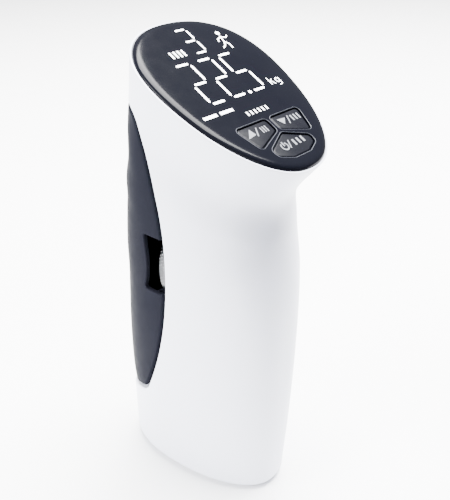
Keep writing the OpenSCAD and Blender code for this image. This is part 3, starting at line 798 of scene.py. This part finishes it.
def make_lit_display():
    m = Mesh()
    for char, y in (("2", -10.15), ("2", -1.35), ("5", 7.5)):
        digit(m, char, DIGIT_X, y, DIGIT_HALF_H, DIGIT_HALF_W, DIGIT_STROKE, LIT_W)
    dot(m, 34.4, 3.25, 0.6, LIT_W)
    digit(m, "3", 10.6, 0.65, 5.1, 2.25, 0.62, LIT_W)
    for y in (-17.25, -10.75):
        box_plate(m, 38.15, y, 0.5, 2.6, LIT_W)
    # running figure: head, trunk, arms and legs
    dot(m, 9.9, 13.2, 0.8, LIT_W)
    for limb in (
        [(11.2, 12.9), (13.8, 12.5)],
        [(11.6, 12.8), (12.4, 10.9), (13.4, 10.6)],
        [(11.6, 12.9), (12.3, 14.8), (11.5, 15.7)],
        [(13.7, 12.5), (15.2, 13.6), (17.0, 13.4)],
        [(13.7, 12.5), (15.2, 11.6), (16.2, 10.0)],
    ):
        strokes(m, limb, FIGURE_STROKE, LIT_W)
    # the unit, kg
    for line in (
        [(31.5, 13.7), (34.5, 13.7)],
        [(33.5, 13.8), (32.4, 15.2)],
        [(33.0, 14.3), (34.5, 15.4)],
        [(32.5, 18.1), (34.8, 18.1), (35.2, 17.7), (35.3, 16.7)],
    ):
        strokes(m, line, UNIT_STROKE, LIT_W)
    bowl = arc(33.35, 17.25, 0.85, 0.8, np.linspace(0, 360, 14, endpoint=False))
    strokes(m, bowl, UNIT_STROKE, LIT_W, closed=True)
    small_blocks(m, 14.35, -11.2, -4.8, 2.6, 4, LIT_W)
    return graphic(m, "lit_display")


def make_printed_marks():
    m = Mesh()
    small_blocks(m, 41.2, -5.7, 4.2, 1.5, 6, LIT_W)
    return graphic(m, "printed_marks")


def make_up_mark():
    m = Mesh()
    plate(m, [(45.9, -9.3), (48.7, -11.9), (48.2, -8.5)], KEY_MARK_W)
    strokes(m, [(46.1, -6.6), (48.9, -8.2)], SLASH_STROKE, KEY_MARK_W)
    small_blocks(m, 47.5, -5.8, -2.8, 2.1, 3, KEY_MARK_W)
    return graphic(m, "mark_up", body="up")


def make_down_mark():
    m = Mesh()
    plate(m, [(46.2, 2.8), (46.5, 6.2), (48.5, 4.2)], KEY_MARK_W)
    strokes(m, [(46.1, 7.6), (48.9, 6.3)], SLASH_STROKE, KEY_MARK_W)
    small_blocks(m, 47.4, 8.0, 12.4, 2.1, 3, KEY_MARK_W)
    return graphic(m, "mark_down", body="down")


def make_power_mark():
    m = Mesh()
    ring = arc(POWER_X, POWER_Y, POWER_R, POWER_R, np.linspace(-145, 145, 18))
    strokes(m, ring, POWER_STROKE, KEY_MARK_W)
    strokes(m, [(53.3, POWER_Y), (54.9, POWER_Y)], POWER_STROKE, KEY_MARK_W)
    strokes(m, [(53.5, -0.4), (56.2, -1.6)], SLASH_STROKE, KEY_MARK_W)
    small_blocks(m, 54.9, 0.2, 5.9, 2.1, 3, KEY_MARK_W)
    return graphic(m, "mark_power", body="power")


def make_key_edges():
    """Thin raised lines on the panel round the keys, coloured lighter than the panel as a painted
    highlight of the key holes' edges.
    """
    m = Mesh()
    top = PANEL_TOP + KEY_RING_H
    low = top - KEY_RING_T
    middle = (KEY_RING_IN + KEY_RING_OUT) / 2
    for points, r in KEYS.values():
        sections = ((KEY_RING_OUT, low), (middle, top), (KEY_RING_IN, low))
        m.grid(np.array([face_points(round_polygon(points, r, g), w) for g, w in sections]), close=True)
    return graphic(m, "key_edges")


# ------------------------------------------------------------------ materials
GRAIN_SCALE, GRAIN_DETAIL, CLOUD_SCALE, GLOSS_SCALE = 2600.0, 2.0, 35.0, 240.0
BRUSH_SCALE, BRUSH_DETAIL, BRUSH_GLOSS_SCALE, BRUSH_STRENGTH = 900.0, 3.0, 400.0, 0.15
BUMP_DEPTH = 0.00002
NOISE_DETAIL = 4.0
RAMP_LOW, RAMP_HIGH = 0.3, 0.7
LED_ROUGH, LED_GLOSS, LED_SCALE = 0.4, (0.35, 0.45), 500.0


def material(name, color, rough, metallic=0.0, spec=0.5, ior=1.5):
    mat = bpy.data.materials.new(name)
    mat.use_nodes = True
    b = mat.node_tree.nodes["Principled BSDF"]
    b.inputs["Base Color"].default_value = (*color, 1)
    b.inputs["Roughness"].default_value = rough
    b.inputs["Metallic"].default_value = metallic
    b.inputs["Specular IOR Level"].default_value = spec
    b.inputs["IOR"].default_value = ior
    return mat, mat.node_tree, b


def noise(tree, scale, detail=NOISE_DETAIL, stretch=(1, 1, 1)):
    """A noise texture in the object's own coordinates."""
    coords = tree.nodes.new("ShaderNodeTexCoord")
    mapping = tree.nodes.new("ShaderNodeMapping")
    mapping.inputs["Scale"].default_value = stretch
    tree.links.new(coords.outputs["Object"], mapping.inputs["Vector"])
    node = tree.nodes.new("ShaderNodeTexNoise")
    node.inputs["Scale"].default_value = scale
    node.inputs["Detail"].default_value = detail
    tree.links.new(mapping.outputs["Vector"], node.inputs["Vector"])
    return node.outputs["Fac"]


def bump(tree, bsdf, height, strength):
    b = tree.nodes.new("ShaderNodeBump")
    b.inputs["Strength"].default_value = strength
    b.inputs["Distance"].default_value = BUMP_DEPTH
    tree.links.new(height, b.inputs["Height"])
    tree.links.new(b.outputs["Normal"], bsdf.inputs["Normal"])


def vary(tree, fac, low, high, target):
    """Drive a socket between two colours, or two levels written as greys."""
    ramp = tree.nodes.new("ShaderNodeValToRGB")
    first, second = ramp.color_ramp.elements
    first.color, second.color = (*low, 1), (*high, 1)
    first.position, second.position = RAMP_LOW, RAMP_HIGH
    tree.links.new(fac, ramp.inputs["Fac"])
    tree.links.new(ramp.outputs["Color"], target)


def vary_gloss(tree, scale, rough, b):
    vary(tree, noise(tree, scale), (rough[0],) * 3, (rough[1],) * 3, b.inputs["Roughness"])


def moulded(name, low, high, rough, strength=0.25, spec=0.5, ior=1.5):
    """Moulded plastic: a fine spark-eroded texture and slight tone and gloss variation."""
    mat, tree, b = material(name, low, rough[0], spec=spec, ior=ior)
    vary(tree, noise(tree, CLOUD_SCALE), low, high, b.inputs["Base Color"])
    vary_gloss(tree, GLOSS_SCALE, rough, b)
    bump(tree, b, noise(tree, GRAIN_SCALE, GRAIN_DETAIL), strength)
    return mat


def brushed(name, low, high, rough, stretch=(1, 1, 1)):
    """Machined metal: fine lines in colour and height."""
    mat, tree, b = material(name, low, rough[0], metallic=1.0)
    lines = noise(tree, BRUSH_SCALE, BRUSH_DETAIL, stretch)
    vary(tree, lines, low, high, b.inputs["Base Color"])
    vary_gloss(tree, BRUSH_GLOSS_SCALE, rough, b)
    bump(tree, b, lines, BRUSH_STRENGTH)
    return mat


def lit(name, color, strength):
    mat, tree, b = material(name, color, LED_ROUGH)
    b.inputs["Emission Color"].default_value = (*color, 1)
    b.inputs["Emission Strength"].default_value = strength
    vary_gloss(tree, LED_SCALE, LED_GLOSS, b)
    return mat


INK_LOW, INK_HIGH = (0.002, 0.0022, 0.004), (0.003, 0.0033, 0.005)
MATS = {
    "white_abs": moulded("white_abs", (0.66, 0.68, 0.77), (0.675, 0.695, 0.78), (0.30, 0.36)),
    "black_abs": moulded("black_abs", (0.0065, 0.0069, 0.0105), (0.0085, 0.0089, 0.0125), (0.36, 0.44),
                         strength=0.15, ior=1.03),
    "smoked_acrylic": moulded("smoked_acrylic", INK_LOW, INK_HIGH, (0.13, 0.17), strength=0.03, spec=0.06),
    "light_grey_abs": moulded("light_grey_abs", (0.60, 0.61, 0.65), (0.63, 0.64, 0.68), (0.45, 0.55)),
    "steel": brushed("steel", (0.50, 0.50, 0.52), (0.62, 0.62, 0.64), (0.25, 0.35)),
    "aluminium": brushed("aluminium", (0.66, 0.67, 0.69), (0.76, 0.77, 0.79), (0.28, 0.38), (1, 1, 20)),
    "wheel_plating": brushed("wheel_plating", (0.60, 0.60, 0.62), (0.70, 0.70, 0.72), (0.16, 0.24),
                             (20, 1, 1)),
    "brass": brushed("brass", (0.66, 0.50, 0.22), (0.76, 0.60, 0.30), (0.25, 0.35)),
    "grey_nylon": moulded("grey_nylon", (0.24, 0.25, 0.26), (0.28, 0.29, 0.30), (0.5, 0.6)),
    "rubber": moulded("rubber", (0.03, 0.03, 0.03), (0.04, 0.04, 0.04), (0.7, 0.8)),
    "board": moulded("board", (0.03, 0.20, 0.09), (0.04, 0.25, 0.12), (0.35, 0.45)),
    "gauge_foil": moulded("gauge_foil", (0.62, 0.36, 0.14), (0.70, 0.42, 0.18), (0.3, 0.4)),
    "cell_wrap": moulded("cell_wrap", (0.06, 0.22, 0.50), (0.08, 0.26, 0.56), (0.25, 0.32)),
    "button_black": moulded("button_black", INK_LOW, INK_HIGH, (0.26, 0.34), spec=0.1),
    "red_wire": moulded("red_wire", (0.50, 0.05, 0.04), (0.58, 0.07, 0.05), (0.35, 0.45)),
}
LEGEND = moulded("legend_print", (0.12, 0.125, 0.14), (0.14, 0.145, 0.16), (0.5, 0.6))
# painted highlight: a lighter grey than the panel for the raised lines round the keys, standing in for
# light caught by the key holes' edges
KEY_EDGE_HIGHLIGHT = moulded("key_edge_highlight", (0.035, 0.037, 0.045), (0.045, 0.047, 0.055), (0.25, 0.35))
# painted shade: a darker plating for the knurl's grooves, standing in for the shade that falls in them
KNURL_SHADE = brushed("knurl_groove_shade", (0.10, 0.10, 0.11), (0.14, 0.14, 0.15), (0.35, 0.45))
LED_WHITE = lit("led_white", (1.0, 1.0, 1.0), 3.5)
LED_SOFT = lit("led_soft", (0.85, 0.86, 0.88), 1.2)


def paint(obj, mat):
    obj.data.materials.clear()
    obj.data.materials.append(mat)


# ------------------------------------------------------------------ the pieces
NODE_SLOT = {s["node"]: s["material_slot"] for s in frame["record"]["subparts"]}
for node_name, node_obj in NODES.items():
    paint(node_obj, MATS[NODE_SLOT[node_name]])

paint(make_housing(), MATS["white_abs"])
paint(make_lever(), MATS["black_abs"])
for part in make_skirts():
    paint(part, MATS["black_abs"])
wheel_obj = make_wheel()
paint(wheel_obj, MATS["wheel_plating"])
# the knurl's groove faces get the painted shade
paint_groove_shade(wheel_obj, KNURL_SHADE)
paint(make_panel(), MATS["smoked_acrylic"])
for key in KEYS:
    paint(make_key(key), MATS["button_black"])
paint(make_lit_display(), LED_WHITE)
paint(make_printed_marks(), LED_SOFT)
for make_mark in (make_up_mark, make_down_mark, make_power_mark):
    paint(make_mark(), LEGEND)
# the raised lines round the keys carry the painted highlight
paint(make_key_edges(), KEY_EDGE_HIGHLIGHT)

# ------------------------------------------------------------------ studio (metres)
WORLD_COLOR, WORLD_LIGHT = (0.95, 0.97, 1.0, 1), 0.9
KEY_POWER, TOP_POWER = 36, 160
FLOOR_R = 6.0
CARD_X, CARD_FRONT, CARD_BACK, CARD_LOW, CARD_TOP = 0.15, -0.11, 0.15, 0.002, 0.30


def card(name, corners, mat):
    """A flat sheet of the studio: the floor, or a dark card beside the object."""
    mesh = bpy.data.meshes.new(name)
    mesh.from_pydata(corners, [], [(0, 1, 2, 3)])
    obj = bpy.data.objects.new(name, mesh)
    bpy.context.scene.collection.objects.link(obj)
    paint(obj, mat)


def area(name, place, target, size, power):
    light = bpy.data.lights.new(name, "AREA")
    light.shape = "RECTANGLE"
    light.size, light.size_y = size
    light.energy = power
    obj = bpy.data.objects.new(name, light)
    bpy.context.scene.collection.objects.link(obj)
    obj.location = place
    obj.rotation_euler = (Vector(target) - Vector(place)).to_track_quat("-Z", "Y").to_euler()


world = bpy.data.worlds.new("studio")
bpy.context.scene.world = world
world.use_nodes = True
world.node_tree.nodes["Background"].inputs["Color"].default_value = WORLD_COLOR
world.node_tree.nodes["Background"].inputs["Strength"].default_value = WORLD_LIGHT

card("floor",
     [(-FLOOR_R, -FLOOR_R, 0), (FLOOR_R, -FLOOR_R, 0), (FLOOR_R, FLOOR_R, 0), (-FLOOR_R, FLOOR_R, 0)],
     moulded("floor_paper", (0.92, 0.92, 0.92), (0.93, 0.93, 0.93), (0.8, 0.9), spec=0.1))
# a dark card on the palm side, out of the camera's view, darkens that side of the body
card("palm_card",
     [(CARD_X, CARD_FRONT, CARD_LOW), (CARD_X, CARD_BACK, CARD_LOW),
      (CARD_X, CARD_BACK, CARD_TOP), (CARD_X, CARD_FRONT, CARD_TOP)],
     moulded("card_felt", (0.02, 0.02, 0.03), (0.03, 0.03, 0.04), (0.8, 0.9)))
area("key", (-0.45, -0.85, 0.4), (0, 0, 0.08), (0.5, 0.7), KEY_POWER)
area("top", (0.0, 0.25, 1.1), (0, 0.25, 0), (0.8, 0.8), TOP_POWER)

# ------------------------------------------------------------------ camera
AZ, EL = math.radians(41.21), math.radians(29.65)
CAMERA_AT = (0.12665, -0.1402, 0.19705)
LENS, SENSOR, CLIP = 46.8, 36.0, 0.01
camera = bpy.data.cameras.new("camera")
camera.lens, camera.sensor_width, camera.clip_start = LENS, SENSOR, CLIP
cam = bpy.data.objects.new("camera", camera)
bpy.context.scene.collection.objects.link(cam)
cam.location = CAMERA_AT
right = Vector((math.cos(AZ), math.sin(AZ), 0))
forward = Vector((-math.sin(AZ) * math.cos(EL), math.cos(AZ) * math.cos(EL), -math.sin(EL)))
cam.rotation_euler = Matrix((right, right.cross(forward), -forward)).transposed().to_euler()
bpy.context.scene.camera = cam


bpy.context.view_layer.update()
